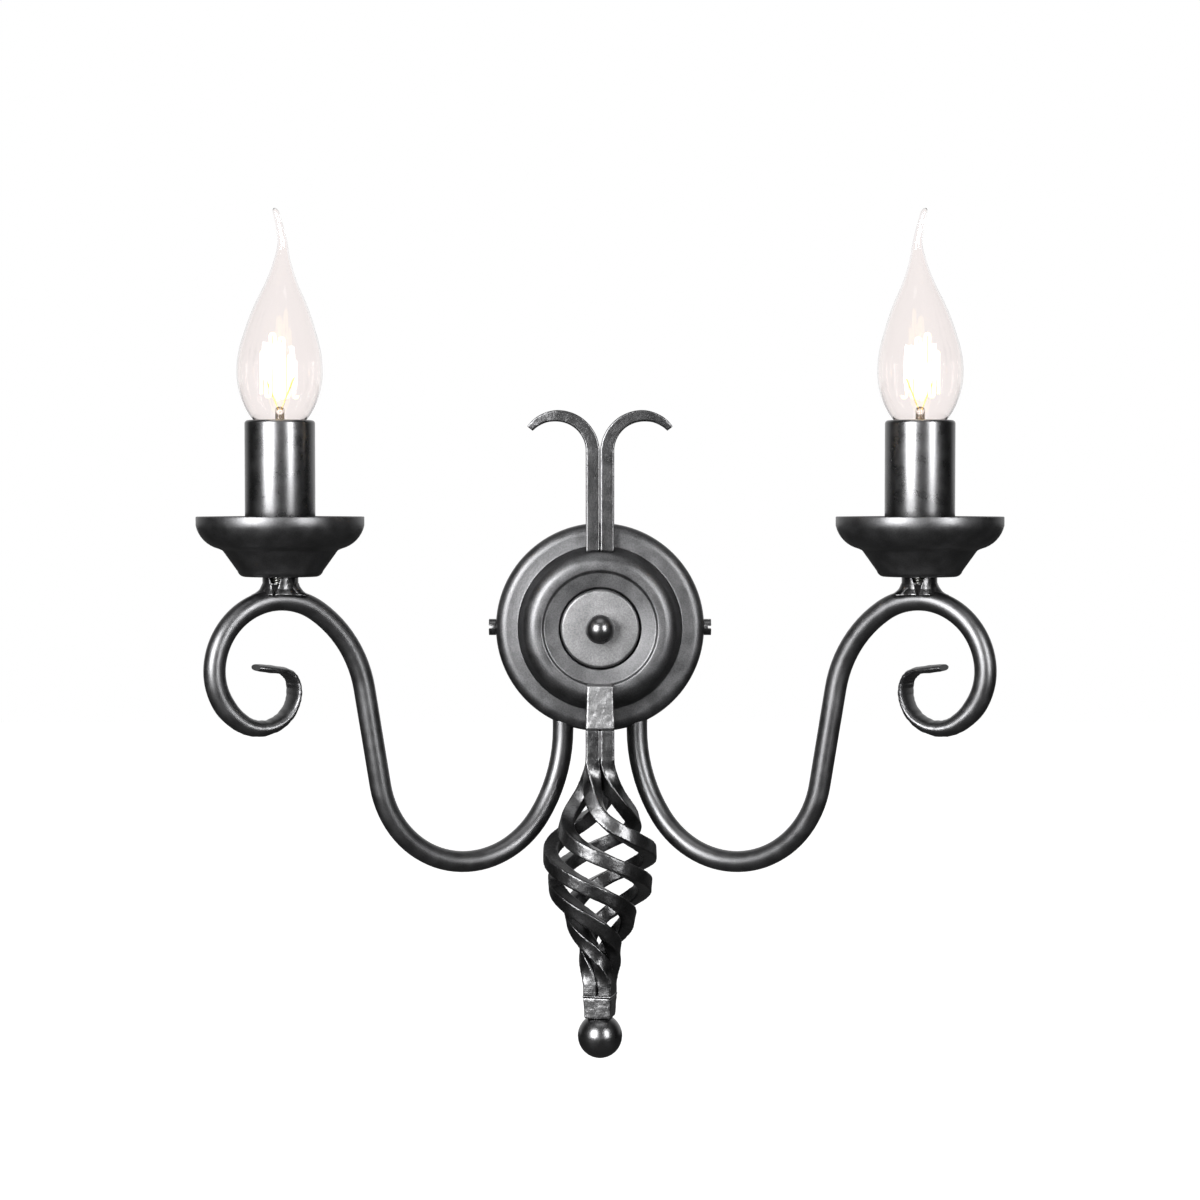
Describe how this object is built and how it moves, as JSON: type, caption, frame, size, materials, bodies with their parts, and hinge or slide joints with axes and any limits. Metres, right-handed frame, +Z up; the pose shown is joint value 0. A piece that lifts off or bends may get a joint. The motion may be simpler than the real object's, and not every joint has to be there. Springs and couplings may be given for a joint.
{
  "type": "torch sconce",
  "caption": "Wrought-style wall light with swung S-curved arms, drip pans, candle sleeves, bent-tip bulbs and a twisted basket torch below a round canopy.",
  "frame": {"origin": "middle of the canopy on the wall, on the wall bracket's back face", "axes": "+X to the right seen from the room, +Y into the wall, +Z up along the bulbs"},
  "size_m": [0.3292, 0.1078, 0.3578],
  "materials": {
    "powder_coat": "fine metallic black-grey powder coat, half matt",
    "zinc_steel": "zinc plated",
    "socket_brass": "drawn brass",
    "holder_plastic": "moulded",
    "terminal_plastic": "moulded",
    "lead_sheath": "smooth sheath",
    "bulb_cap": "rolled shell",
    "bulb_glass": "clear blown glass",
    "filament": "glowing wire on a glass stem"
  },
  "bodies": {
    "fixture": {"wall_bracket": "zinc_steel", "canopy": "powder_coat", "cover_disc": "powder_coat", "centre_stud": "zinc_steel", "stud_nut": "zinc_steel", "terminal_block": "terminal_plastic", "earth_screw": "zinc_steel", "left_arm": "powder_coat", "left_lead": "lead_sheath", "left_pan_collar": "powder_coat", "left_nipple": "zinc_steel", "left_drip_pan": "powder_coat", "left_lock_nut": "zinc_steel", "left_lampholder_body": "holder_plastic", "left_lampholder_shell": "socket_brass", "left_centre_contact": "socket_brass", "left_candle_sleeve": "powder_coat", "right_arm": "powder_coat", "right_lead": "lead_sheath", "right_pan_collar": "powder_coat", "right_nipple": "zinc_steel", "right_drip_pan": "powder_coat", "right_lock_nut": "zinc_steel", "right_lampholder_body": "holder_plastic", "right_lampholder_shell": "socket_brass", "right_centre_contact": "socket_brass", "right_candle_sleeve": "powder_coat", "left_horn": "powder_coat", "right_horn": "powder_coat", "basket_rod_1": "powder_coat", "basket_rod_2": "powder_coat", "basket_rod_3": "powder_coat", "basket_rod_4": "powder_coat", "basket_top_block": "powder_coat", "basket_bottom_block": "powder_coat", "finial_ball": "powder_coat"},
    "left_screw": {"left_side_screw": "powder_coat"},
    "right_screw": {"right_side_screw": "powder_coat"},
    "ball_nut": {"ball_nut": "powder_coat"},
    "left_cap": {"left_bulb_cap": "bulb_cap"},
    "left_bulb": {"left_bulb_glass": "bulb_glass", "left_filament": "filament"},
    "right_cap": {"right_bulb_cap": "bulb_cap"},
    "right_bulb": {"right_bulb_glass": "bulb_glass", "right_filament": "filament"}
  },
  "joints": [
    {"name": "left_bulb_rise", "type": "slide", "parent": "fixture", "child": "left_cap", "axis": [0, 0, 1], "range_m": [0, 0.01131]},
    {"name": "left_bulb_turn", "type": "hinge", "parent": "left_cap", "child": "left_bulb", "pos_m": [-0.13042, -0.07356, 0.0607], "axis": [0, 0, 1], "range_deg": [0, 1440]},
    {"name": "left_screw_out", "type": "slide", "parent": "fixture", "child": "left_screw", "axis": [-1, 0, 0], "range_m": [0, 0.005]},
    {"name": "right_bulb_rise", "type": "slide", "parent": "fixture", "child": "right_cap", "axis": [0, 0, 1], "range_m": [0, 0.01131]},
    {"name": "right_bulb_turn", "type": "hinge", "parent": "right_cap", "child": "right_bulb", "pos_m": [0.13042, -0.07356, 0.0607], "axis": [0, 0, 1], "range_deg": [0, 1440]},
    {"name": "right_screw_out", "type": "slide", "parent": "fixture", "child": "right_screw", "axis": [1, 0, 0], "range_m": [0, 0.005]},
    {"name": "ball_nut_off", "type": "slide", "parent": "fixture", "child": "ball_nut", "axis": [0, -1, 0], "range_m": [0, 0.006]}
  ],
  "couplings": [
    {"joint": "left_bulb_rise", "follows": "left_bulb_turn", "m_per_rad": 0.00044913},
    {"joint": "right_bulb_rise", "follows": "right_bulb_turn", "m_per_rad": 0.00044913}
  ]
}
